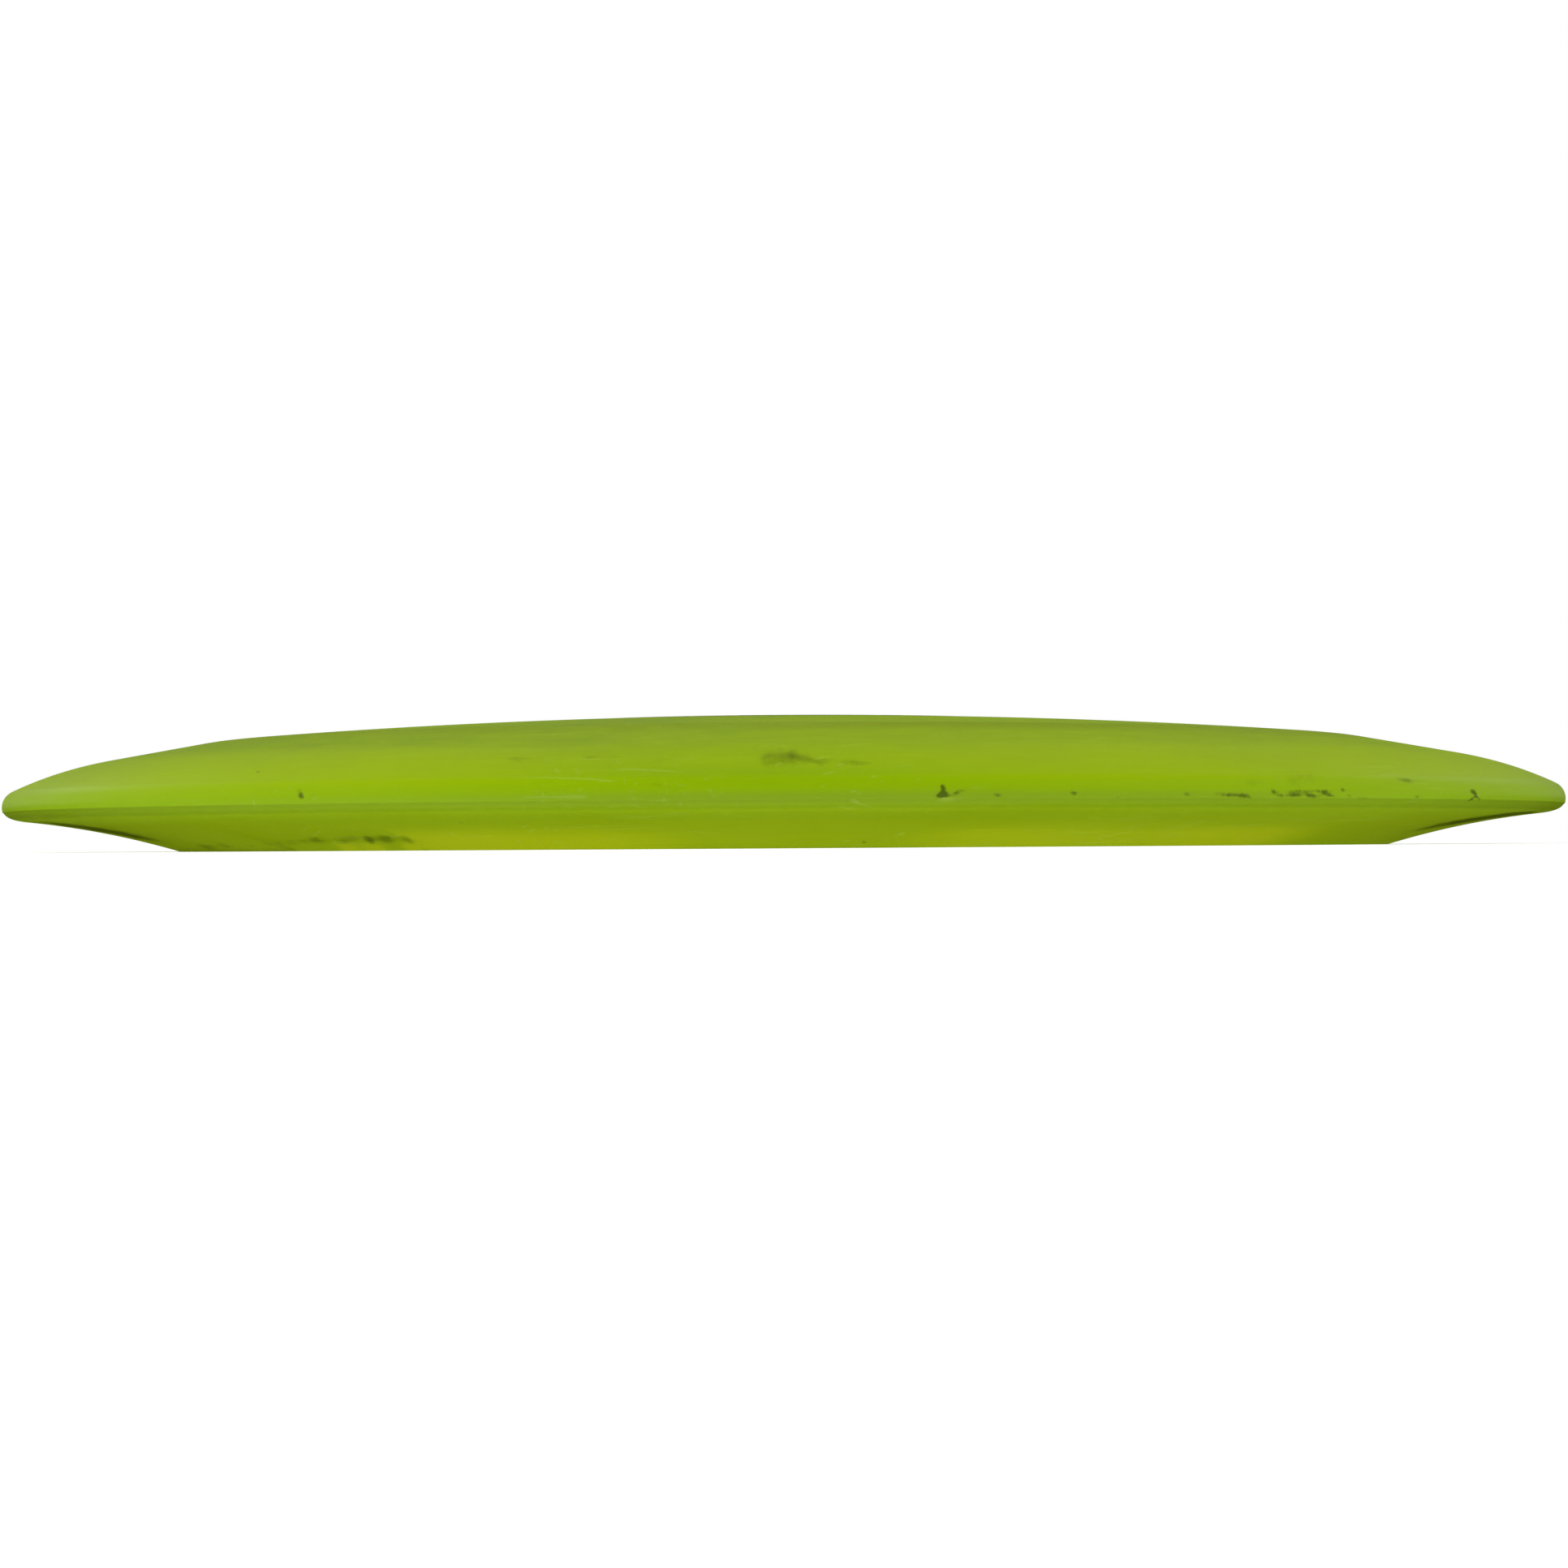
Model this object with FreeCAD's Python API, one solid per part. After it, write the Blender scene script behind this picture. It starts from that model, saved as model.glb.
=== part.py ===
import FreeCAD, Part
import math
import os

# Flying disc of the golf driver kind. Millimetres, +Z up.
# The origin is on the disc's axis, in the plane of the foot that the disc rests on.
# Every section is drawn as points (r, z): distance from the axis, height above the foot.

# Driving dimensions of the outline
disc_radius = 105.5
disc_height = 17.65
rim_width = 24.5
plate_thickness = 1.8
shoulder_radius = 79.15
shoulder_height = 14.28

# Wing: a straight slope from the shoulder, then a curve that rolls over into the nose
wing_slope_deg = 10.55
wing_straight_end_radius = 92.47
nose_radius = 2.25
nose_height = 5.9

# Underside of the wing, from the moulding's parting line in to the foot
parting_height = 5.25
lip_inset = 0.95
lip_height = 4.22
wing_hollow = 0.6
foot_outer_radius = 82.46
foot_corner_radius = 0.7

# Inner wall of the rim, and the fillet where it meets the plate
wall_draft = 0.45
fillet_radius = 2.5

# Mark of the moulding gate, in the middle of the plate's underside
gate_recess_radius = 9.0
gate_recess_depth = 0.3
gate_stub_radius = 2.0
gate_stub_length = 0.5

# Hot-stamped foil: concentric rings with a ray pattern inside them
foil_thickness = 0.04
foil_rings = ((36.0, 38.0), (33.4, 34.0), (4.6, 6.2))
ray_count = 8
long_ray = {"tip": 30.5, "belly": 13.5, "root": 8.5, "half_width": 2.6}
short_ray = {"tip": 22.5, "belly": 15.0, "root": 11.5, "half_width": 1.5}


def point(r, z):
    return FreeCAD.Vector(r, 0, z)


def line(start, end):
    return Part.LineSegment(start, end).toShape()


def arc(start, middle, end):
    return Part.Arc(start, middle, end).toShape()


def bowed(start, end, bow):
    """A shallow arc whose middle stands off the chord by bow, to the left of its travel."""
    along = end - start
    aside = FreeCAD.Vector(-along.z, 0, along.x).normalize()
    return arc(start, (start + end) * 0.5 + aside * bow, end)


def quarter_bow(radius):
    """How far an arc that rounds a right angle stands off its chord."""
    return radius * (1 - math.cos(math.pi / 4))


def revolved(edges):
    face = Part.Face(Part.Wire(edges))
    return face.revolve(FreeCAD.Vector(0, 0, 0), FreeCAD.Vector(0, 0, 1), 360)


# The plate's top is a shallow dome: a sphere through its crown and the shoulder.
dome_rise = disc_height - shoulder_height
dome_radius = (shoulder_radius ** 2 + dome_rise ** 2) / (2 * dome_rise)
dome_centre = point(0, disc_height - dome_radius)


def dome_point(r, offset=0.0):
    """Point at distance r from the axis, on the sphere that lies offset above the dome."""
    return point(r, dome_centre.z + math.sqrt((dome_radius + offset) ** 2 - r ** 2))


def dome_arc(r_start, r_end, offset=0.0):
    middle = (r_start + r_end) / 2
    return arc(dome_point(r_start, offset), dome_point(middle, offset), dome_point(r_end, offset))


# The plate and the rim part at a slanting face, from the shoulder to the top of the fillet.
wall_top_radius = disc_radius - rim_width - wall_draft
seam_top = dome_point(shoulder_radius)
seam_bottom = dome_point(wall_top_radius - fillet_radius, -plate_thickness)


def flight_plate():
    recess_edge = dome_point(gate_recess_radius, -plate_thickness)
    recess_floor = recess_edge.z + gate_recess_depth
    stub_end = recess_floor - gate_stub_length
    return revolved([
        dome_arc(0, shoulder_radius),
        line(seam_top, seam_bottom),
        dome_arc(seam_bottom.x, gate_recess_radius, -plate_thickness),
        line(recess_edge, point(gate_recess_radius, recess_floor)),
        line(point(gate_recess_radius, recess_floor), point(gate_stub_radius, recess_floor)),
        line(point(gate_stub_radius, recess_floor), point(gate_stub_radius, stub_end)),
        line(point(gate_stub_radius, stub_end), point(0, stub_end)),
        line(point(0, stub_end), dome_point(0)),
    ])


def wing_top():
    """Straight slope, the wing's curve tangent to it, and the nose's round inside that curve."""
    slope = math.radians(wing_slope_deg)
    straight_drop = (wing_straight_end_radius - shoulder_radius) * math.tan(slope)
    straight_end = point(wing_straight_end_radius, shoulder_height - straight_drop)
    nose_centre = point(disc_radius - nose_radius, nose_height)
    inward = FreeCAD.Vector(-math.sin(slope), 0, -math.cos(slope))
    to_nose = nose_centre - straight_end
    reach = to_nose.dot(inward) - nose_radius
    curve_radius = (to_nose.dot(to_nose) - nose_radius ** 2) / (2 * reach)
    curve_centre = straight_end + inward * curve_radius
    outward = (nose_centre - curve_centre).normalize()
    nose_start = nose_centre + outward * nose_radius
    halfway = (outward - inward).normalize()
    parting_drop = nose_height - parting_height
    parting_reach = math.sqrt(nose_radius ** 2 - parting_drop ** 2)
    parting_edge = nose_centre + FreeCAD.Vector(parting_reach, 0, -parting_drop)
    edges = [
        line(seam_top, straight_end),
        arc(straight_end, curve_centre + halfway * curve_radius, nose_start),
        arc(nose_start, point(disc_radius, nose_height), parting_edge),
    ]
    return edges, parting_edge


def rim():
    edges, parting_edge = wing_top()
    wall_foot_radius = disc_radius - rim_width
    lip = point(disc_radius - lip_inset, lip_height)
    foot_outer = point(foot_outer_radius, 0)
    foot_inner = point(wall_foot_radius + foot_corner_radius, 0)
    wall_bottom = point(wall_foot_radius, foot_corner_radius)
    wall_top = point(wall_top_radius, seam_bottom.z - fillet_radius)
    edges += [
        line(parting_edge, lip),
        bowed(lip, foot_outer, -wing_hollow),
        line(foot_outer, foot_inner),
        bowed(foot_inner, wall_bottom, quarter_bow(foot_corner_radius)),
        line(wall_bottom, wall_top),
        bowed(wall_top, seam_bottom, -quarter_bow(fillet_radius)),
        line(seam_bottom, seam_top),
    ]
    return revolved(edges)


def foil_ring(inner, outer):
    return revolved([
        dome_arc(inner, outer),
        line(dome_point(outer), dome_point(outer, foil_thickness)),
        dome_arc(outer, inner, foil_thickness),
        line(dome_point(inner, foil_thickness), dome_point(inner)),
    ])


def foil_ray(shape, angle_deg):
    """A kite-shaped ray: an upright prism cut to the thin shell that lies on the dome."""
    corners = [
        FreeCAD.Vector(shape["root"], 0, 0),
        FreeCAD.Vector(shape["belly"], -shape["half_width"], 0),
        FreeCAD.Vector(shape["tip"], 0, 0),
        FreeCAD.Vector(shape["belly"], shape["half_width"], 0),
    ]
    outline = Part.makePolygon(corners + corners[:1])
    prism = Part.Face(outline).extrude(FreeCAD.Vector(0, 0, 2 * disc_height))
    outer_ball = Part.makeSphere(dome_radius + foil_thickness, dome_centre)
    inner_ball = Part.makeSphere(dome_radius, dome_centre)
    ray = prism.common(outer_ball).cut(inner_ball)
    ray.rotate(FreeCAD.Vector(0, 0, 0), FreeCAD.Vector(0, 0, 1), angle_deg)
    return ray.Solids[0]


def stamp_foil():
    solids = [foil_ring(inner, outer) for inner, outer in foil_rings]
    step = 360 / ray_count
    for index in range(ray_count):
        solids.append(foil_ray(long_ray, index * step))
        solids.append(foil_ray(short_ray, (index + 0.5) * step))
    return Part.makeCompound(solids)


nodes = {
    "flight_plate": flight_plate(),
    "rim": rim(),
    "stamp_foil": stamp_foil(),
}

os.makedirs("parts", exist_ok=True)
for name, shape in nodes.items():
    shape.exportStep("parts/" + name + ".step")
    print(name, len(shape.Solids), "solids,", round(shape.Volume / 1000, 3), "cm3, valid", shape.isValid())
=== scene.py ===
import functools
import math

import bmesh
import bpy
import numpy as np
from mathutils import Euler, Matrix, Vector


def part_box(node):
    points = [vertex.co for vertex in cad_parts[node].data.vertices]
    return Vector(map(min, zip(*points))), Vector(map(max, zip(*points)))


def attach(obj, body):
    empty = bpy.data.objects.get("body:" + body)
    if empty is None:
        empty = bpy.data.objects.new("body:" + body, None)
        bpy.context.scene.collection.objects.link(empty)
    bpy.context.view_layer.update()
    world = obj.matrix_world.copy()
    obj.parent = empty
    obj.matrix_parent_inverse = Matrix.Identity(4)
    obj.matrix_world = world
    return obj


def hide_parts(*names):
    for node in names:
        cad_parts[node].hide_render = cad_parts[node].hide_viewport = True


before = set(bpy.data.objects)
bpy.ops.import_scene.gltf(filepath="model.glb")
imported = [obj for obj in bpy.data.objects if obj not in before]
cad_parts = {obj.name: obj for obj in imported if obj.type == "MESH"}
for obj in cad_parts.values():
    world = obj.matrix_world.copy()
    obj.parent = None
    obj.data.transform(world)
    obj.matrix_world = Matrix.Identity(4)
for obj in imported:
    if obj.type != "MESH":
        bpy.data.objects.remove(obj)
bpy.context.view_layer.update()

# A used golf disc, moulded in one lime-green plastic, on a pale table. Metres, as in the frame.
# Angles round the disc are in degrees from its front, the side that faces the camera, and
# grow towards +X. "along" is the distance from the crown, measured over the disc's surface.
MM = 0.001

# Sizes that the frame gives
rim_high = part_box("rim")[1]
plate_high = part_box("flight_plate")[1]
disc_radius = rim_high.x
disc_height = plate_high.z
shoulder_radius = plate_high.x
shoulder_height = rim_high.z

# Sizes of the section between them
wing_slope = math.radians(10.55)
wing_straight_end = 92.47 * MM
nose_radius = 2.25 * MM
nose_height = 5.9 * MM
parting_height = 5.25 * MM
lip_inset = 0.95 * MM
lip_height = 4.22 * MM
chamfer_straight_share = 0.3
wing_hollow = 0.6 * MM
foot_outer = 82.46 * MM
wall_radius = disc_radius - 24.5 * MM
wall_draft = 0.45 * MM
foot_corner = 0.7 * MM
fillet_radius = 2.5 * MM
plate_thickness = 1.8 * MM
shoulder_ease = 1.1 * MM
gate_recess = (9.0 * MM, 0.3 * MM)
gate_stub = (2.0 * MM, 0.5 * MM)

# How many steps the disc is turned in, and how much closer together they are at the rim's front
RIM_STEPS = 1400
PLATE_STEPS = 480
FRONT_CROWDING = 0.4
# How many points the plate's section has on its top and underside
TOP_POINTS = 34
UNDER_POINTS = 26
# Edges that turn by more than this stay sharp.
SHARP_ANGLE = math.radians(21)
WELD_DISTANCE = 0.001 * MM

dome_rise = disc_height - shoulder_height
dome_radius = (shoulder_radius ** 2 + dome_rise ** 2) / (2 * dome_rise)


def dome_z(r, offset=0.0):
    """Height at distance r from the axis, on the sphere that lies offset above the dome."""
    return disc_height - dome_radius + np.sqrt((dome_radius + offset) ** 2 - np.square(r))


def straight(start, end, count):
    share = np.linspace(0, 1, count + 1)[1:, None]
    return np.asarray(start) + (np.asarray(end) - np.asarray(start)) * share


def bowed(start, end, bow, count):
    """Points on a shallow arc that stands off its chord by bow, to the left of its travel."""
    start, end = np.asarray(start, float), np.asarray(end, float)
    chord = end - start
    half = np.hypot(*chord) / 2
    left = np.array([-chord[1], chord[0]]) / (2 * half)
    radius = (half ** 2 + bow ** 2) / (2 * bow)
    centre = (start + end) / 2 + left * (bow - radius)
    return round_part(centre, start, end, count)


def round_part(centre, start, end, count):
    """Points on the circle about centre, from start to end the short way."""
    a, b = np.asarray(start) - centre, np.asarray(end) - centre
    first = math.atan2(a[1], a[0])
    turn = math.atan2(a[0] * b[1] - a[1] * b[0], a @ b)
    angles = first + turn * np.linspace(0, 1, count + 1)[1:]
    return centre + np.hypot(*a) * np.stack([np.cos(angles), np.sin(angles)], 1)


def eased(before, corner, after, count):
    """Points on a curve that cuts a corner, from before it to after it."""
    share = np.linspace(0, 1, count + 1)[1:, None]
    start, end = (np.asarray(spot) - corner for spot in (before, after))
    return corner + (1 - share) ** 2 * start + share ** 2 * end


def quarter_bow(radius):
    """How far an arc that rounds a right angle stands off its chord."""
    return radius * (1 - math.cos(math.pi / 4))


wall_top_radius = wall_radius - wall_draft
seam_radius = wall_top_radius - fillet_radius
seam_bottom = (seam_radius, float(dome_z(seam_radius, -plate_thickness)))


def shoulder():
    """The eased shoulder: its start on the dome, the seam in its middle, and its end on the wing."""
    dome_tilt = math.asin(shoulder_radius / dome_radius)
    mean_tilt = (dome_tilt + wing_slope) / 2
    sink = shoulder_ease * math.tan((wing_slope - dome_tilt) / 4)
    inner = shoulder_radius - shoulder_ease
    before = np.array([inner, dome_z(inner)])
    middle = np.array([shoulder_radius, shoulder_height])
    middle -= sink * np.array([math.sin(mean_tilt), math.cos(mean_tilt)])
    after = np.array([shoulder_radius, shoulder_height])
    after += shoulder_ease * np.array([1, -math.tan(wing_slope)])
    return before, middle, after


def wing_curve():
    """The wing's curve: it leaves the straight slope, and the nose's round lies inside it."""
    drop = (wing_straight_end - shoulder_radius) * math.tan(wing_slope)
    start = np.array([wing_straight_end, shoulder_height - drop])
    nose_centre = np.array([disc_radius - nose_radius, nose_height])
    inward = np.array([-math.sin(wing_slope), -math.cos(wing_slope)])
    to_nose = nose_centre - start
    radius = (to_nose @ to_nose - nose_radius ** 2) / (2 * (to_nose @ inward - nose_radius))
    centre = start + inward * radius
    outward = (nose_centre - centre) / np.hypot(*(nose_centre - centre))
    nose_start = nose_centre + outward * nose_radius
    fall = nose_height - parting_height
    parting = nose_centre + np.array([math.sqrt(nose_radius ** 2 - fall ** 2), -fall])
    return start, centre, nose_start, nose_centre, parting


def rim_section():
    """The rim's closed section, from the seam over the wing and nose and back up the inner wall."""
    _, middle, after = shoulder()
    start, centre, nose_start, nose_centre, parting = wing_curve()
    lip = np.array([disc_radius - lip_inset, lip_height])
    lip_start = parting + chamfer_straight_share * (lip - parting)
    under = bowed(lip, (foot_outer, 0), -wing_hollow, count=20)
    foot_inner = (wall_radius + foot_corner, 0)
    wall_bottom = (wall_radius, foot_corner)
    wall_top = (wall_top_radius, seam_bottom[1] - fillet_radius)
    return np.concatenate([
        [middle],
        straight(middle, after, count=1),
        straight(after, start, count=3),
        round_part(centre, start, nose_start, count=16),
        round_part(nose_centre, nose_start, parting, count=12),
        straight(parting, lip_start, count=2),
        eased(lip_start, lip, under[1], count=8),
        under[2:],
        straight((foot_outer, 0), foot_inner, count=1),
        bowed(foot_inner, wall_bottom, quarter_bow(foot_corner), count=2),
        straight(wall_bottom, wall_top, count=1),
        bowed(wall_top, seam_bottom, -quarter_bow(fillet_radius), count=3),
    ])


def plate_section():
    """The plate's section, from the crown out to the seam and back under it to the gate's mark."""
    before, middle, _ = shoulder()
    top = np.linspace(0, before[0], TOP_POINTS)
    recess_radius, recess_depth = gate_recess
    stub_radius, stub_length = gate_stub
    under = np.linspace(seam_bottom[0], recess_radius, UNDER_POINTS)
    recess_floor = float(dome_z(recess_radius, -plate_thickness)) + recess_depth
    stub_end = recess_floor - stub_length
    return np.concatenate([
        np.stack([top, dome_z(top)], 1),
        straight(before, middle, count=2),
        np.stack([under, dome_z(under, -plate_thickness)], 1),
        straight((recess_radius, recess_floor), (stub_radius, recess_floor), count=3),
        [(stub_radius, stub_end), (0, stub_end)],
    ])


def distance_along(section, start=0.0):
    """How far along the surface each point of a section lies, if its first point lies at start."""
    return start + np.concatenate([[0], np.cumsum(np.hypot(*np.diff(section, axis=0).T))])


def outward(section):
    """Unit normals of a section that is drawn clockwise: outwards from the plastic."""
    ahead = np.roll(section, -1, 0) - section
    behind = section - np.roll(section, 1, 0)
    run = ahead / np.hypot(*ahead.T)[:, None] + behind / np.hypot(*behind.T)[:, None]
    normal = np.stack([-run[:, 1], run[:, 0]], 1)
    return normal / np.hypot(*normal.T)[:, None]


def angles_round(steps, crowding=0.0):
    """Angles all round the disc, closer together towards the front by crowding."""
    even = np.arange(steps) * 2 * math.pi / steps - math.pi
    return even - crowding * np.sin(even)


# A larger number gives a dent a higher raised edge.
RAISED_EDGE = 0.9


class Marks:
    """Wear, painted light and shade on the turned surface: how far it is pushed in, how strongly each
    shows.
    """

    KINDS = ("scuff", "pit", "smudge_and_shade", "foot_light")

    def __init__(self, along, angles):
        self.along = along
        self.angles = angles
        self.push = np.zeros((len(angles), len(along)))
        self.masks = {kind: np.zeros((len(angles), len(along))) for kind in self.KINDS}

    def nearness(self, angle, along, size, lean=0.0):
        """1 at a place and less around it. size is its half length round the disc and its half width.
        A positive lean tips it to the right as it goes down."""
        turn = (self.angles - math.radians(angle) + math.pi) % (2 * math.pi) - math.pi
        across = (self.along - along)[None, :]
        round_disc = (turn * disc_radius)[:, None] - lean * across
        return np.exp(-np.square(round_disc / size[0]) - np.square(across / size[1]))

    def dent(self, angle, along, size, depth, lean=0.0):
        """A dent with a low raised edge round it."""
        near = self.nearness(angle, along, size, lean)
        self.push -= depth * near * (1 + RAISED_EDGE * np.log(np.maximum(near, 1e-9)))

    def paint(self, kind, angle, along, size, strength, lean=0.0):
        self.masks[kind] += strength * self.nearness(angle, along, size, lean)


def turned(name, section, along, angles, marks=None):
    """A solid of revolution with smooth faces. marks push its points along their normals."""
    steps = len(angles)
    rings = np.repeat(section[None], steps, 0)
    values = {"along": np.repeat(along[None], steps, 0)}
    if marks:
        rings = rings + outward(section)[None] * marks.push[..., None]
        values.update(marks.masks)
    turn_x, turn_y = np.sin(angles)[:, None], -np.cos(angles)[:, None]
    points = np.stack([rings[..., 0] * turn_x, rings[..., 0] * turn_y, rings[..., 1]], -1)
    count = len(section)
    meets_axis = section[0, 0] == 0
    here = np.arange(steps * count).reshape(steps, count)
    beside = np.roll(here, -1, 0)
    last = count - 1 if meets_axis else count
    corners = [here, np.roll(here, -1, 1), np.roll(beside, -1, 1), beside]
    faces = np.stack([corner[:, :last] for corner in corners], -1).reshape(-1, 4)
    return mesh_piece(name, points.reshape(-1, 3), faces, values, meets_axis)


def mesh_piece(name, points, faces, values, merge=False):
    mesh = bpy.data.meshes.new(name)
    mesh.from_pydata(points.tolist(), [], faces.tolist())
    for key, numbers in values.items():
        layer = mesh.attributes.new(key, "FLOAT", "POINT")
        layer.data.foreach_set("value", numbers.ravel().astype(np.float32))
    if merge:
        soup = bmesh.new()
        soup.from_mesh(mesh)
        bmesh.ops.remove_doubles(soup, verts=soup.verts, dist=WELD_DISTANCE)
        soup.to_mesh(mesh)
        soup.free()
    mesh.shade_smooth()
    mesh.set_sharp_from_angle(angle=SHARP_ANGLE)
    piece = bpy.data.objects.new(name, mesh)
    bpy.context.scene.collection.objects.link(piece)
    return piece


class Nodes:
    """Short names for the shader nodes of one material or world."""

    def __init__(self, owner):
        owner.use_nodes = True
        self.owner = owner
        self.tree = owner.node_tree
        self.shader = self.tree.nodes.get("Principled BSDF")

    def add(self, kind, inputs=(), output=0, **settings):
        node = self.tree.nodes.new(kind)
        for key, value in settings.items():
            setattr(node, key, value)
        for key, value in dict(inputs).items():
            self.feed(node.inputs[key], value)
        return node.outputs[output]

    def feed(self, socket, value):
        if isinstance(value, bpy.types.NodeSocket):
            self.tree.links.new(value, socket)
        else:
            socket.default_value = value

    def set(self, **values):
        for key, value in values.items():
            self.feed(self.shader.inputs[key.replace("_", " ")], value)

    def place(self):
        return self.add("ShaderNodeTexCoord", output="Object")

    def mask(self, name):
        return self.add("ShaderNodeAttribute", output="Fac", attribute_name=name)

    def axes(self, vector):
        """The x, y and z outputs of a vector."""
        return self.add("ShaderNodeSeparateXYZ", {0: vector}).node.outputs

    def math(self, operation, a, b=0.0, clamp=False):
        return self.add("ShaderNodeMath", {0: a, 1: b}, operation=operation, use_clamp=clamp)

    def times(self, a, b):
        return self.math("MULTIPLY", a, b)

    def highest(self, a, b):
        return self.math("MAXIMUM", a, b)

    def vector(self, operation, a, b=(0, 0, 0), output=0):
        return self.add("ShaderNodeVectorMath", {0: a, 1: b}, output, operation=operation)

    def noise(self, where, scale, detail=2.0, roughness=0.5):
        inputs = {"Vector": where, "Scale": scale, "Detail": detail, "Roughness": roughness}
        return self.add("ShaderNodeTexNoise", inputs)

    def fade(self, value, low, high, to_low=0.0, to_high=1.0, kind="SMOOTHSTEP"):
        """value as it passes from low to high, turned into a number from to_low to to_high."""
        inputs = {"Value": value, "From Min": low, "From Max": high, "To Min": to_low, "To Max": to_high}
        return self.add("ShaderNodeMapRange", inputs, interpolation_type=kind)

    def zone(self, value, start, full, fading, end):
        """1 where value is from full to fading, and 0 before start and past end."""
        return self.times(self.fade(value, start, full), self.fade(value, end, fading))

    def ragged(self, value, noise, amount):
        """value with a noise added, which makes the edges of what it masks uneven."""
        return self.math("ADD", value, self.times(self.math("SUBTRACT", noise, 0.5), amount))

    def blend(self, factor, a, b):
        inputs = {0: factor, 6: a, 7: b}
        return self.add("ShaderNodeMix", inputs, 2, data_type="RGBA")

    def bump(self, height, strength, distance, under=None):
        inputs = {"Height": height, "Strength": strength, "Distance": distance}
        if under is not None:
            inputs["Normal"] = under
        return self.add("ShaderNodeBump", inputs)


def colour(red, green, blue):
    return (red, green, blue, 1.0)


def in_mm(*sizes):
    return [size * MM for size in sizes]


LIME = colour(0.325, 0.500, 0.001)
LIME_DEEP = colour(0.292, 0.450, 0.001)
LIME_PALE = colour(0.385, 0.570, 0.001)
# Painted shade: the nose is a darker, greener copy of the lime
NOSE_SHADED_LIME = colour(0.280, 0.462, 0.001)
# Painted shade and light: darker and lighter copies of the lime, from the nose's chamfer in under it
CHAMFER_SHADED_LIME = colour(0.235, 0.360, 0.001)
LIP_SHADED_LIME = colour(0.221, 0.342, 0.001)
UNDER_LIT_LIME = colour(0.330, 0.482, 0.001)
INNER_LIT_LIME = colour(0.395, 0.528, 0.001)
# Painted light: a lighter, yellower lime in a band above the foot
FOOT_LIT_LIME = colour(0.520, 0.610, 0.002)
SCUFFED = colour(0.43, 0.60, 0.10)
PIT_DIRT = colour(0.096, 0.150, 0.001)
# Smudge dirt, and painted shade under the disc's two ends
SMUDGE_DIRT_AND_SHADE = colour(0.13, 0.19, 0.001)
# Painted shade: a patchy darker ring over the shoulder
SHOULDER_SHADE = colour(0.245, 0.335, 0.004)
SOIL = colour(0.07, 0.06, 0.015)
FOIL = colour(0.030, 0.032, 0.038)
WHITE = colour(1, 1, 1)

# Zones of the surface, along it: where each starts, is full, begins to fade, and ends
# Where the painted shade over the shoulder lies
SHOULDER_SHADE_ZONE = in_mm(74, 79, 80, 87)
# Painted light: the wing is paler towards the nose
LIT_WING = in_mm(89, 97, 104.5, 108.2)
# Where the nose band of painted shade lies
NOSE_ZONE = in_mm(101, 106, 108.6, 109.4)
NOSE_COVER = 0.9
# Painted light: the wing is painted paler, least at this middle (x), and most from this far on both sides
# of it.
SIDE_LIGHT_MIDDLE = -3 * MM
SIDE_LIGHT_REACH = 42 * MM
SIDE_LIGHT_LEAST = 0.08
SIDE_LIGHT_MOST = 0.75
# The nose's lower edge is painted a little darker, as painted shade, in this zone across the front (x).
LOW_NOSE_ACROSS = in_mm(-45, -5, 50, 68)
LOW_NOSE_FROM = in_mm(107.3, 108.3)
LOW_NOSE_COVER = 0.42
# Shade and light painted under the nose, outside in: where each starts and is full (mm along), how far it
# covers
UNDER_BANDS = (
    (CHAMFER_SHADED_LIME, 108.34, 108.50, 0.78),
    (LIP_SHADED_LIME, 109.0, 109.8, 0.40),
    (UNDER_LIT_LIME, 109.7, 111.6, 1.0),
    (INNER_LIT_LIME, 112, 122, 1.0),
)
# Where the foot's band of painted light begins and is full (mm along)
FOOT_BAND_FROM = in_mm(112, 116)

# How often each noise changes, per metre
CLOUDS_SCALE = 34.0
GRAIN_SCALE = 900.0
DIRT_SCALE = 1500.0
SPECKS_SCALE = 170.0
SMUDGE_STRETCH = (700, 200, 700)
FOIL_WEAR_SCALE = 260.0
FOIL_PATCH_SCALE = 40.0
# Streaks round the disc: how often their noise changes, per radian round it and per metre along it
LONG_STREAKS = (5.0, 1400.0)
SHORT_STREAKS = (18.0, 420.0)
# Scratches: their direction in degrees, how often their noise changes per metre lengthwise and
# crosswise, and the noise level above which it is a scratch
SCRATCHES = (
    (17, 22, 1500, 0.66),
    (74, 26, 1700, 0.67),
    (-41, 18, 1300, 0.67),
)
FOIL_SCRATCHES = (30, 22, 1500, 0.62)
SCRATCH_EDGE = 0.04
SCRATCH_PATCHES_SCALE = 38.0

# How strongly each thing covers the plastic's own colour: the least and the most, or the most
BLOTCH_COVER = (0.0, 0.40)
# Painted shade over the shoulder: the least and the most cover
SHOULDER_SHADE_COVER = (0.15, 0.60)
SCUFF_COVER = 0.7
SCRATCH_COVER = 0.22
SPECK_COVER = 0.5
FOIL_SCRATCH_COVER = 0.9
# The share of the fine cells that hold no speck
SPECKLESS = 0.86
# How far a noise shifts the edges of dirt, and of the foot's band
RAGGED_DIRT = 0.8
RAGGED_BAND = 0.5
# Roughness where the surface is clean, and what dirt and grooves add to it
PLASTIC_ROUGHNESS = (0.36, 0.44)
DIRT_ROUGHNESS = 0.25
GROOVE_ROUGHNESS = 0.10
FOIL_ROUGHNESS = (0.27, 0.45)
# How strongly the grain and the grooves show in relief, and how deep they are
GRAIN_RELIEF = 0.25
GROOVE_RELIEF = 0.35
RELIEF_DEPTH = 0.02 * MM


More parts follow.
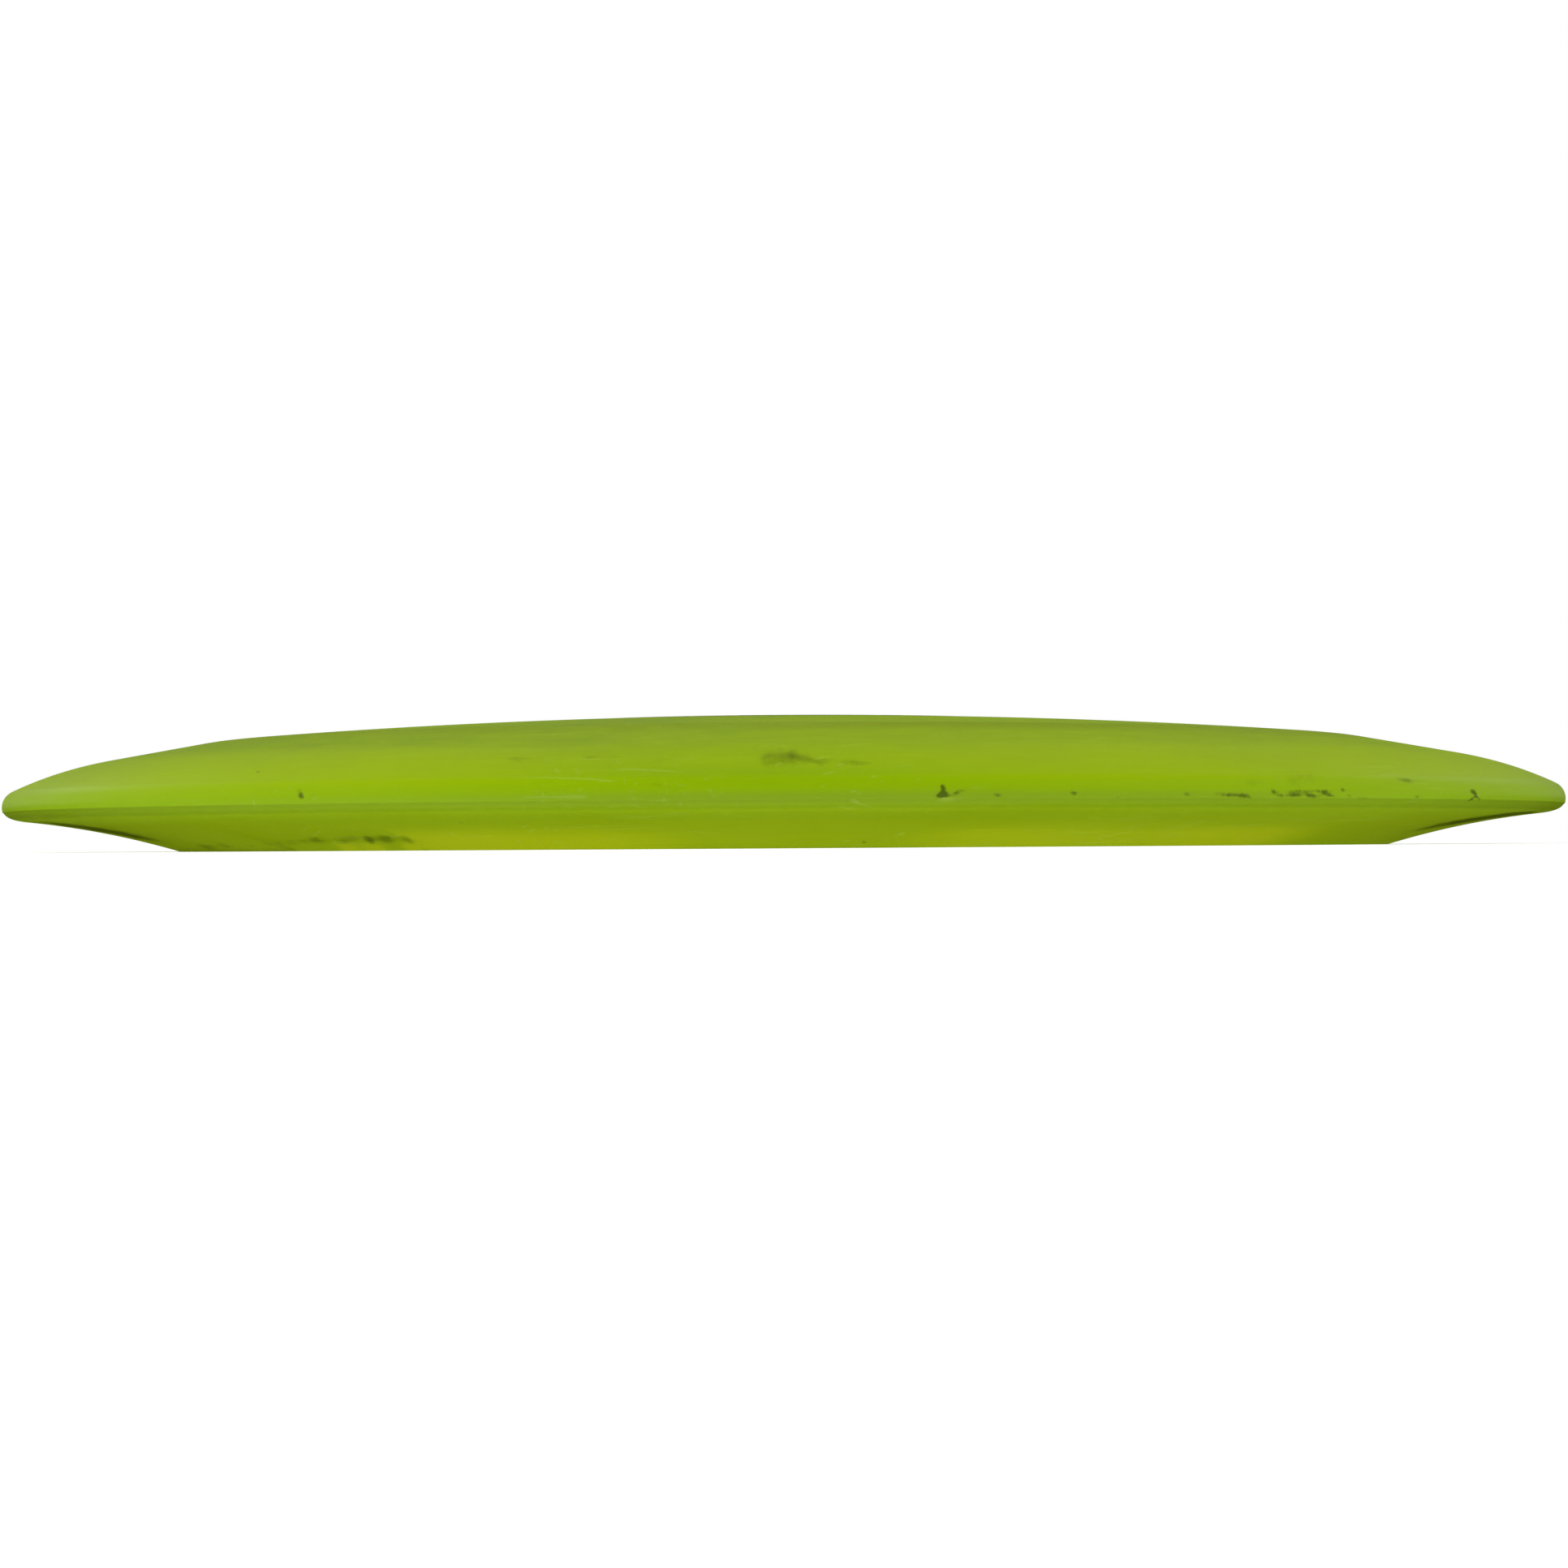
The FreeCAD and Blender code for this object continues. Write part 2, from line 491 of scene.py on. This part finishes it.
def hairlines(n, where, turn, lengthwise, crosswise, level):
    """Fine straight scratches in one direction: a noise stretched along them, cut to its highest ridges."""
    inputs = {"Vector": where, "Angle": math.radians(turn)}
    turned_place = n.add("ShaderNodeVectorRotate", inputs, rotation_type="Z_AXIS")
    stretched = n.vector("MULTIPLY", turned_place, (lengthwise, crosswise, crosswise))
    lines = n.fade(n.noise(stretched, 1.0, 1.0), level, level + SCRATCH_EDGE)
    patches = n.fade(n.noise(turned_place, SCRATCH_PATCHES_SCALE, 2.0), 0.48, 0.62)
    return n.times(lines, patches)


def ring_space(n, where, along, per_radian, per_metre):
    """Coordinates for streaks that run round the disc: the direction from its axis, and along."""
    x, y, _ = n.axes(n.vector("NORMALIZE", n.vector("MULTIPLY", where, (1, 1, 0))))
    inputs = {0: n.times(x, per_radian), 1: n.times(y, per_radian), 2: n.times(along, per_metre)}
    return n.add("ShaderNodeCombineXYZ", inputs)


def zone_colours(n, shown, where, along, streaks):
    """The rim's colours from the wing over the nose to the foot, with painted light and shade in bands."""
    across = n.axes(where)[0]
    # Painted shade on the nose band
    shown = n.blend(n.times(n.zone(along, *NOSE_ZONE), NOSE_COVER), shown, NOSE_SHADED_LIME)
    # Painted light: the wing is paler towards both sides
    aside = n.math("ABSOLUTE", n.math("ADD", across, -SIDE_LIGHT_MIDDLE))
    rubbed_and_side_lit = n.fade(aside, 0.0, SIDE_LIGHT_REACH, SIDE_LIGHT_LEAST, SIDE_LIGHT_MOST)
    shown = n.blend(n.times(n.zone(along, *LIT_WING), rubbed_and_side_lit), shown, LIME_PALE)
    # Painted shade on the nose's lower edge across the front
    low_nose = n.fade(along, *LOW_NOSE_FROM, 0.0, LOW_NOSE_COVER)
    shown = n.blend(n.times(n.zone(across, *LOW_NOSE_ACROSS), low_nose), shown, CHAMFER_SHADED_LIME)
    # Painted shade and light in bands under the nose
    for band_colour, start, full, cover in UNDER_BANDS:
        shown = n.blend(n.fade(along, start * MM, full * MM, 0.0, cover), shown, band_colour)
    # The foot's yellower band is painted light; it has an uneven upper edge.
    foot_band = n.fade(n.ragged(n.mask("foot_light"), streaks, RAGGED_BAND), 0.05, 0.95)
    return n.blend(n.times(foot_band, n.fade(along, *FOOT_BAND_FROM)), shown, FOOT_LIT_LIME)


def disc_plastic(name, worn):
    """Satin moulded plastic that lets some light in, with the scratches, scuffs and dirt of use,
    and with painted light and shade in bands and patches.
    """
    n = Nodes(bpy.data.materials.new(name))
    where = n.place()
    along = n.mask("along")
    streaks = n.noise(ring_space(n, where, along, *LONG_STREAKS), 1.0, 3.0, 0.6)
    blotches = n.noise(ring_space(n, where, along, *SHORT_STREAKS), 1.0, 3.0, 0.55)
    clouds = n.noise(where, CLOUDS_SCALE, 3.0)
    grain = n.noise(where, GRAIN_SCALE, 3.0, 0.6)
    rough = n.fade(clouds, 0.3, 0.7, *PLASTIC_ROUGHNESS)
    tone = n.fade(n.math("ADD", clouds, n.times(streaks, 0.35)), 0.5, 0.85)
    shown = n.blend(tone, LIME_DEEP, LIME)
    shown = n.blend(n.fade(blotches, 0.42, 0.75, *BLOTCH_COVER), shown, LIME_PALE)
    # Painted shade: a patchy darker ring over the shoulder, on the plate and the rim
    shoulder_shade = n.times(n.zone(along, *SHOULDER_SHADE_ZONE), n.fade(clouds, 0.35, 0.65, *SHOULDER_SHADE_COVER))
    shown = n.blend(shoulder_shade, shown, SHOULDER_SHADE)
    if worn:
        shown = zone_colours(n, shown, where, along, streaks)
        # Dirt and the painted shade under the ends have ragged edges: a noise eats into each painted patch.
        crumbs = n.noise(where, DIRT_SCALE, 2.0, 0.6)
        pits = n.fade(n.ragged(n.mask("pit"), crumbs, RAGGED_DIRT), 0.24, 0.85)
        patches = n.noise(n.vector("MULTIPLY", where, SMUDGE_STRETCH), 1.0, 2.0, 0.6)
        smudged_and_shaded = n.fade(n.ragged(n.mask("smudge_and_shade"), patches, RAGGED_DIRT), 0.15, 1.10)
        scuff = n.math("MULTIPLY", n.mask("scuff"), n.fade(grain, 0.35, 0.6), clamp=True)
        shown = n.blend(n.times(scuff, SCUFF_COVER), shown, SCUFFED)
        # Smudges of dirt, and painted shade under the disc's two ends
        shown = n.blend(smudged_and_shaded, shown, SMUDGE_DIRT_AND_SHADE)
        shown = n.blend(pits, shown, PIT_DIRT)
        rough = n.math("ADD", rough, n.times(n.highest(scuff, pits), DIRT_ROUGHNESS))
    first, *others = [hairlines(n, where, *row) for row in SCRATCHES]
    scratches = functools.reduce(n.highest, others, first)
    shown = n.blend(n.times(scratches, SCRATCH_COVER), shown, SCUFFED)
    # A few cells of a fine pattern hold a speck of soil.
    cells = n.add("ShaderNodeTexVoronoi", {"Vector": where, "Scale": SPECKS_SCALE})
    lot = n.add("ShaderNodeSeparateColor", {0: cells.node.outputs["Color"]})
    specks = n.times(n.math("GREATER_THAN", lot, SPECKLESS), n.fade(cells, 0.03, 0.055, 1.0, 0.0))
    shown = n.blend(n.times(specks, SPECK_COVER), shown, SOIL)
    grooves = n.highest(scratches, n.fade(streaks, 0.60, 0.72))
    rough = n.math("ADD", rough, n.times(grooves, GROOVE_ROUGHNESS))
    skin = n.bump(grain, GRAIN_RELIEF, RELIEF_DEPTH)
    lined = n.bump(n.math("SUBTRACT", 0.0, grooves), GROOVE_RELIEF, RELIEF_DEPTH, skin)
    n.set(Base_Color=shown, Roughness=rough, Normal=lined, IOR=1.47, Specular_IOR_Level=0.25)
    n.set(Subsurface_Weight=0.25, Subsurface_Radius=(1.0, 1.0, 0.15), Subsurface_Scale=1.2 * MM)
    return n.owner


def foil_finish():
    """Dark metallic foil, rubbed through to the plastic in places."""
    n = Nodes(bpy.data.materials.new("dark_foil"))
    where = n.place()
    patches = n.times(n.noise(where, FOIL_PATCH_SCALE, 2.0), 0.5)
    rubbed_and_side_lit = n.fade(n.math("ADD", n.noise(where, FOIL_WEAR_SCALE, 5.0, 0.7), patches), 0.86, 0.92)
    rubbed_and_side_lit = n.highest(rubbed_and_side_lit, n.times(hairlines(n, where, *FOIL_SCRATCHES), FOIL_SCRATCH_COVER))
    n.set(Base_Color=n.blend(rubbed_and_side_lit, FOIL, LIME))
    n.set(Metallic=n.math("SUBTRACT", 1.0, rubbed_and_side_lit))
    n.set(Roughness=n.fade(rubbed_and_side_lit, 0.0, 1.0, *FOIL_ROUGHNESS))
    return n.owner


# Marks that face the camera. Each row: angle round from the front, along (mm), half length and
# half width (mm), lean, strength. Pits are dents with dirt in them; smudges and scuffs lie on the
# surface. The last eight smudges are painted shade under the disc's two ends.
FRONT_PITS = (
    (-32.7, 106.7, 0.8, 0.18, 0.0, 0.50),
    (-30.4, 106.8, 0.45, 0.35, 0.0, 0.50),
    (-30.2, 107.5, 0.45, 0.40, 0.0, 1.00),
    (-12.5, 106.9, 0.9, 0.15, 0.0, 0.40),
    (-10.5, 107.3, 0.5, 0.35, 0.0, 0.45),
    (8.98, 108.1, 0.45, 0.34, 0.0, 1.00),
    (9.35, 108.05, 0.40, 0.32, 0.0, 0.95),
    (9.2, 107.4, 0.34, 0.60, 0.0, 1.00),
    (9.95, 107.9, 0.50, 0.36, -1.0, 0.62),
    (10.4, 107.5, 0.45, 0.30, -0.8, 0.50),
    (12.4, 108.1, 0.6, 0.32, 1.0, 0.65),
    (13.6, 108.0, 0.7, 0.18, 0.0, 0.40),
    (17.1, 107.9, 0.5, 0.32, 0.5, 0.75),
    (19.9, 108.3, 0.6, 0.25, 0.8, 0.60),
    (24.5, 108.0, 0.5, 0.28, 0.0, 0.65),
    (26.7, 108.0, 1.2, 0.24, 0.0, 0.55),
    (27.6, 108.15, 1.1, 0.28, 0.0, 0.60),
    (28.6, 108.2, 1.0, 0.38, 1.2, 0.80),
    (30.8, 107.75, 0.5, 0.42, 0.4, 0.80),
    (31.35, 108.2, 0.6, 0.25, 0.5, 0.60),
    (32.2, 108.05, 1.0, 0.38, 0.0, 0.70),
    (32.7, 107.65, 2.2, 0.13, 0.0, 0.50),
    (33.1, 108.0, 1.2, 0.30, 0.0, 0.50),
    (33.9, 108.2, 0.9, 0.30, 1.2, 0.80),
    (34.6, 107.6, 2.0, 0.14, 0.0, 0.52),
    (34.8, 107.9, 0.8, 0.28, 0.0, 0.60),
    (35.4, 108.1, 0.8, 0.33, 1.2, 0.70),
    (36.5, 107.5, 0.6, 0.26, 0.0, 0.70),
    (37.0, 108.2, 0.6, 0.35, 0.0, 0.60),
    (38.2, 108.4, 1.2, 0.22, 0.0, 0.55),
    (43.6, 108.2, 0.5, 0.26, 0.0, 0.80),
    (50.1, 107.45, 0.75, 0.32, 0.0, 0.95),
    (50.55, 107.95, 0.45, 0.35, 0.5, 0.85),
    (51.1, 108.4, 0.45, 0.30, 1.3, 0.80),
    (50.1, 108.4, 0.50, 0.34, -1.2, 1.05),
)
FRONT_SMUDGES_AND_SHADE = (
    (-16.8, 100.0, 2.6, 0.9, 0.0, 0.50),
    (-11.7, 99.9, 2.6, 0.9, 0.0, 0.38),
    (-6.9, 99.6, 1.4, 0.8, 0.0, 0.38),
    (-7.1, 106.8, 1.6, 0.3, 0.0, 0.30),
    (-0.9, 101.0, 1.5, 3.2, 0.0, 0.50),
    (0.4, 100.6, 1.9, 3.9, 0.0, 0.58),
    (1.7, 101.5, 1.4, 2.2, 0.8, 0.42),
    (3.0, 101.4, 2.2, 1.1, 0.0, 0.35),
    (4.3, 102.4, 1.3, 0.9, 0.0, 0.60),
    (5.4, 102.6, 1.6, 0.6, 0.0, 0.30),
    (6.1, 129.7, 0.4, 0.7, 0.0, 0.75),
    (33.5, 106.0, 4.0, 1.3, 0.0, 0.40),
    (29.5, 106.6, 2.0, 0.7, 0.0, 0.30),
    (42.6, 106.1, 1.6, 0.5, 1.0, 0.75),
    # Painted shade: these eight rows darken the underside below the disc's two ends
    (-69.0, 114.0, 8.0, 3.0, 0.0, 0.60),
    (-69.0, 117.5, 9.0, 3.5, 0.0, 0.90),
    (-68.0, 121.5, 8.0, 3.5, 0.0, 0.90),
    (-67.0, 125.0, 6.0, 2.5, 0.0, 0.70),
    (69.0, 113.4, 9.0, 2.2, 0.0, 1.20),
    (67.6, 116.5, 8.0, 3.0, 0.0, 1.10),
    (66.2, 120.2, 7.0, 3.0, 0.0, 0.95),
    (64.8, 124.0, 5.0, 3.0, 0.0, 0.65),
)
FRONT_SCUFFS = (
    (41.3, 105.2, 2.2, 0.25, 1.2, 0.90),
    (9.3, 108.6, 1.2, 0.20, 0.0, 0.50),
    (38.0, 94.7, 3.0, 0.30, 0.0, 0.40),
)
# The ragged chain of dirt near the foot: angle, along (mm), half length and half width (mm), and its
# share of the full strength
FOOT_DIRT_STRENGTH = 0.59
FOOT_DIRT = (
    (-58.5, 130.0, 3.5, 1.6, 1.15),
    (-54.0, 129.5, 2.4, 1.5, 1.05),
    (-49.6, 129.4, 2.0, 1.3, 0.85),
    (-46.4, 128.6, 1.5, 1.7, 0.88),
    (-44.2, 128.2, 1.7, 1.4, 0.82),
    (-42.5, 128.1, 1.5, 1.4, 0.88),
    (-40.9, 127.9, 1.3, 1.5, 0.84),
    (-39.5, 127.6, 1.3, 1.6, 0.96),
    (-38.3, 127.2, 1.9, 1.9, 0.90),
    (-36.6, 127.8, 0.9, 2.8, 0.85),
    (-35.2, 126.9, 2.0, 1.9, 0.95),
    (-33.7, 127.9, 0.9, 2.8, 0.90),
    (-32.8, 126.7, 1.6, 1.8, 0.90),
    (-31.9, 127.6, 0.9, 2.8, 0.85),
    (-30.9, 126.5, 1.7, 1.9, 1.00),
    (-29.8, 127.6, 0.9, 2.6, 1.15),
)
# Tongues of the foot's yellower band of painted light that reach up into that dirt: angle, half length (mm)
FOOT_TONGUES = (
    (-37.8, 1.8),
    (-35.0, 1.8),
    (-31.0, 1.5),
)
TONGUE_ALONG = 130.8
TONGUE_HALF_WIDTH = 2.2
TONGUE_STRENGTH = 1.1
# That band of painted light round the disc: angle, strength, where along it starts and is full (mm)
FOOT_LIGHT_ROUND = (
    (-180, 0.3, 120, 127),
    (-150, 0.0, 120, 127),
    (-120, 0.7, 122, 127),
    (-90, 0.5, 122, 128),
    (-72, 0.0, 126, 129),
    (-44, 0.0, 128, 129.4),
    (-39, 0.25, 127.8, 129.2),
    (-30.2, 0.25, 127.8, 129.2),
    (-29.5, 1.0, 120, 127),
    (-14, 0.9, 119.5, 127),
    (-6, 0.35, 119, 127),
    (7, 0.3, 118, 127),
    (14, 0.65, 119, 126),
    (30, 0.65, 120, 126),
    (40, 1.0, 121, 126),
    (51, 0.0, 123, 127),
    (80, 0.0, 120, 127),
    (110, 0.8, 120, 127),
    (180, 0.3, 120, 127),
)


FOOT_BAND_END = 133 * MM
# How deep a pit of strength 1 is
PIT_DEPTH = 0.05 * MM
# The step at the moulding's parting line: where it is, how deep, and how soon it levels out
PARTING_ALONG = 108.4 * MM
PARTING_STEP = 0.05 * MM
PARTING_REACH = 1.2 * MM
# From this angle on, round the back, the wear is placed at random.
RANDOM_FROM = 82
SEED = 20
# Random pits lie about this line on the nose. Lengths and spread are in mm, and widths are shares
# of the length.
NOSE_ALONG = 107.8
RANDOM_PITS = 130
PIT_SPREAD = 0.5
PIT_LENGTHS = (0.4, 1.2)
PIT_WIDTHS = (0.25, 0.7)
PIT_STRENGTHS = (0.3, 1.1)
# Random smudges, in mm
RANDOM_SMUDGES = 40
SMUDGE_ALONG = (90, 131)
SMUDGE_LENGTHS = (1, 5)
SMUDGE_WIDTHS = (0.3, 1.1)
SMUDGE_STRENGTHS = (0.15, 0.6)


def upright(angle):
    """The lean of a mark on the underside that looks upright from the front."""
    return math.tan(math.radians(angle))


def place_marks(marks):
    """The marks at the front, from their tables."""
    for kind, rows in (("pit", FRONT_PITS), ("smudge_and_shade", FRONT_SMUDGES_AND_SHADE), ("scuff", FRONT_SCUFFS)):
        for angle, along, length, width, lean, strength in rows:
            size = in_mm(length, width)
            if kind == "pit":
                marks.dent(angle, along * MM, size, PIT_DEPTH * strength, lean)
            marks.paint(kind, angle, along * MM, size, strength, lean)
    for angle, along, length, width, share in FOOT_DIRT:
        strength = FOOT_DIRT_STRENGTH * share
        marks.paint("smudge_and_shade", angle, along * MM, in_mm(length, width), strength, upright(angle))
    for angle, length in FOOT_TONGUES:
        size = in_mm(length, TONGUE_HALF_WIDTH)
        marks.paint("foot_light", angle, TONGUE_ALONG * MM, size, TONGUE_STRENGTH, upright(angle))


def scatter_marks(marks):
    """Pits and scuffs on the nose, and smudges below and above it, all round the back."""
    chance = np.random.default_rng(SEED)
    for _ in range(RANDOM_PITS):
        angle = chance.uniform(RANDOM_FROM, 360 - RANDOM_FROM)
        length = chance.uniform(*PIT_LENGTHS) * MM
        size = (length, length * chance.uniform(*PIT_WIDTHS))
        along = (NOSE_ALONG + chance.normal(0, PIT_SPREAD)) * MM
        lean = chance.uniform(-1, 1)
        strength = chance.uniform(*PIT_STRENGTHS)
        marks.dent(angle, along, size, PIT_DEPTH * strength, lean)
        marks.paint(chance.choice(("pit", "pit", "scuff")), angle, along, size, strength, lean)
    for _ in range(RANDOM_SMUDGES):
        angle = chance.uniform(RANDOM_FROM, 360 - RANDOM_FROM)
        size = (chance.uniform(*SMUDGE_LENGTHS) * MM, chance.uniform(*SMUDGE_WIDTHS) * MM)
        along = chance.uniform(*SMUDGE_ALONG) * MM
        marks.paint("smudge_and_shade", angle, along, size, chance.uniform(*SMUDGE_STRENGTHS))


def foot_band(along, angles):
    """How strongly the foot's yellower band of painted light shows, round the disc and along it."""
    turns, *columns = np.array(FOOT_LIGHT_ROUND, float).T
    strength, start, full = (np.interp(np.degrees(angles), turns, column)[:, None] for column in columns)
    rise = np.clip((along[None, :] / MM - start) / (full - start), 0, 1)
    return strength * rise * (along < FOOT_BAND_END)[None, :]


def rim_wear_and_painted_light(along, angles):
    """The rim's wear, painted light and shade, and the fine step at the moulding's parting line under its
    nose.
    """
    marks = Marks(along, angles)
    place_marks(marks)
    scatter_marks(marks)
    past = np.maximum(along - PARTING_ALONG, 0)
    marks.push -= PARTING_STEP * ((past > 0) * np.exp(-past / PARTING_REACH))[None, :]
    # Painted light: the foot's yellower band, kept in its own mask
    marks.masks["foot_light"] += foot_band(along, angles)
    return marks


def build_disc():
    plate = plate_section()
    rim = rim_section()
    seam_along = dome_radius * math.asin(shoulder_radius / dome_radius)
    rim_along = distance_along(rim, seam_along)
    rim_angles = angles_round(RIM_STEPS, FRONT_CROWDING)
    plate_piece = turned("flight_plate_moulding", plate, distance_along(plate), angles_round(PLATE_STEPS))
    plate_piece.data.materials.append(disc_plastic("lime_plastic_plate", worn=False))
    rim_piece = turned("rim_moulding", rim, rim_along, rim_angles, rim_wear_and_painted_light(rim_along, rim_angles))
    rim_piece.data.materials.append(disc_plastic("lime_plastic_rim", worn=True))
    for piece, node in ((plate_piece, "flight_plate"), (rim_piece, "rim")):
        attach(piece, "root")
        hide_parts(node)
    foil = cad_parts["stamp_foil"]
    foil.data.materials.clear()
    foil.data.materials.append(foil_finish())


# Half the table's side, how often its noise changes per metre, and its two greys
TABLE_HALF = 5.0
TABLE_SCALE = 3.0
TABLE_GREYS = (colour(0.84, 0.84, 0.84), colour(0.88, 0.88, 0.88))
# The table's glow. Each row: from where to where (m), and the amount at both.
# What the camera sees of it, by distance from the disc's axis
SEEN_GLOW = (0.2, 0.9, 0.42, 1.0)
# What lights the disc: stronger towards the front (y), weaker at both sides (x)
FRONT_GLOW = (-0.02, -0.12, 0.38, 0.51)
SIDE_GLOW = (0.06, 0.115, 1.0, 0.65)
# The room that the disc mirrors, as rows of the same kind, by direction: from the back to the
# sides, across the horizon, and overhead
ROOM_COLOUR = colour(0.96, 0.98, 1.0)
ROOM_SIDES = (0.3, 0.9, 0.13, 0.44)
ROOM_HORIZON = (-0.02, 0.02, 0.0, 1.0)
ROOM_OVERHEAD = (0.5, 0.9, 1.0, 0.3)
# Softboxes: name, azimuth and elevation (degrees), distance and size (m), power (W), and whether
# the disc mirrors it. Azimuth 0 is in front of the disc, and grows towards +X.
SOFTBOXES = (
    ("front_left", -68, 40, 1.4, (1.0, 0.6), 13.2, False),
    ("front_right", 64, 40, 1.4, (1.0, 0.6), 10.3, False),
    ("overhead", 180, 62, 1.5, (1.6, 1.2), 1.4, False),
    ("behind_left", -140, 27, 1.4, (0.5, 0.35), 0.36, True),
    ("behind_right", 140, 27, 1.4, (0.5, 0.35), 0.32, True),
)
# The camera stands just above the table top, and looks up a little.
CAMERA_DISTANCE = 436 * MM
CAMERA_HEIGHT = 0.3 * MM
CAMERA_PITCH = math.radians(1.127)
CAMERA_ROLL = math.radians(-0.36)


def build_floor():
    """A pale table. Its glow fills in the light from below, and pales it far from the disc."""
    n = Nodes(bpy.data.materials.new("pale_table"))
    where = n.place()
    x, y, _ = n.axes(where)
    on_disc = n.times(n.fade(y, *FRONT_GLOW), n.fade(n.math("ABSOLUTE", x), *SIDE_GLOW))
    for_camera = n.fade(n.vector("LENGTH", where, output=1), *SEEN_GLOW)
    seen = n.add("ShaderNodeLightPath", output="Is Camera Ray")
    glow = n.math("ADD", on_disc, n.times(seen, n.math("SUBTRACT", for_camera, on_disc)))
    n.set(Base_Color=n.blend(n.noise(where, TABLE_SCALE, 3.0), *TABLE_GREYS))
    n.set(Roughness=0.8, Specular_IOR_Level=0.2)
    n.set(Emission_Color=WHITE, Emission_Strength=glow)
    corners = TABLE_HALF * np.array([(-1, -1, 0), (1, -1, 0), (1, 1, 0), (-1, 1, 0)])
    floor = mesh_piece("floor", corners, np.array([[0, 1, 2, 3]]), {})
    floor.data.materials.append(n.owner)
    floor.visible_glossy = False


def softbox(name, azimuth, elevation, distance, size, power, mirrored):
    """A rectangular soft light that faces the disc."""
    light = bpy.data.lights.new(name, "AREA")
    light.shape = "RECTANGLE"
    light.size, light.size_y = size
    light.energy = power
    lamp = bpy.data.objects.new(name, light)
    turn, rise = math.radians(azimuth), math.radians(elevation)
    away = Vector((math.sin(turn) * math.cos(rise), -math.cos(turn) * math.cos(rise), math.sin(rise)))
    lamp.location = away * distance
    lamp.rotation_euler = away.to_track_quat("Z", "Y").to_euler()
    lamp.visible_camera = False
    lamp.visible_glossy = mirrored
    bpy.context.scene.collection.objects.link(lamp)


def build_room():
    """A white backdrop for the camera. The disc mirrors a dim room, lighter at both sides."""
    world = bpy.data.worlds.new("studio")
    n = Nodes(world)
    n.tree.nodes.clear()
    x, _, z = n.axes(n.add("ShaderNodeTexCoord", output="Generated"))
    sides = n.fade(n.math("ABSOLUTE", x), *ROOM_SIDES)
    above = n.times(n.fade(z, *ROOM_HORIZON, kind="LINEAR"), n.fade(z, *ROOM_OVERHEAD))
    mirrored = n.add("ShaderNodeBackground", {"Color": ROOM_COLOUR, "Strength": n.times(sides, above)})
    dark = n.add("ShaderNodeBackground", {"Strength": 0.0})
    backdrop = n.add("ShaderNodeBackground", {"Color": WHITE})
    rays = n.add("ShaderNodeLightPath").node.outputs
    unseen = n.add("ShaderNodeMixShader", {0: rays["Is Glossy Ray"], 1: dark, 2: mirrored})
    seen = n.add("ShaderNodeMixShader", {0: rays["Is Camera Ray"], 1: unseen, 2: backdrop})
    n.feed(n.tree.nodes.new("ShaderNodeOutputWorld").inputs[0], seen)
    bpy.context.scene.world = world


def build_camera():
    """In front of the disc, which fills the width of the picture."""
    data = bpy.data.cameras.new("camera")
    data.sensor_width = 36.0
    data.lens = 72.0
    data.clip_start = 0.2 * MM
    camera = bpy.data.objects.new("camera", data)
    camera.location = (0, -CAMERA_DISTANCE, CAMERA_HEIGHT)
    level = Euler((math.radians(90), 0, 0)).to_matrix()
    aim = Euler((CAMERA_PITCH, 0, CAMERA_ROLL)).to_matrix()
    camera.rotation_euler = (level @ aim).to_euler()
    bpy.context.scene.collection.objects.link(camera)
    bpy.context.scene.camera = camera


build_camera()
build_disc()
build_floor()
for row in SOFTBOXES:
    softbox(*row)
build_room()
bpy.context.scene.view_settings.view_transform = "Standard"
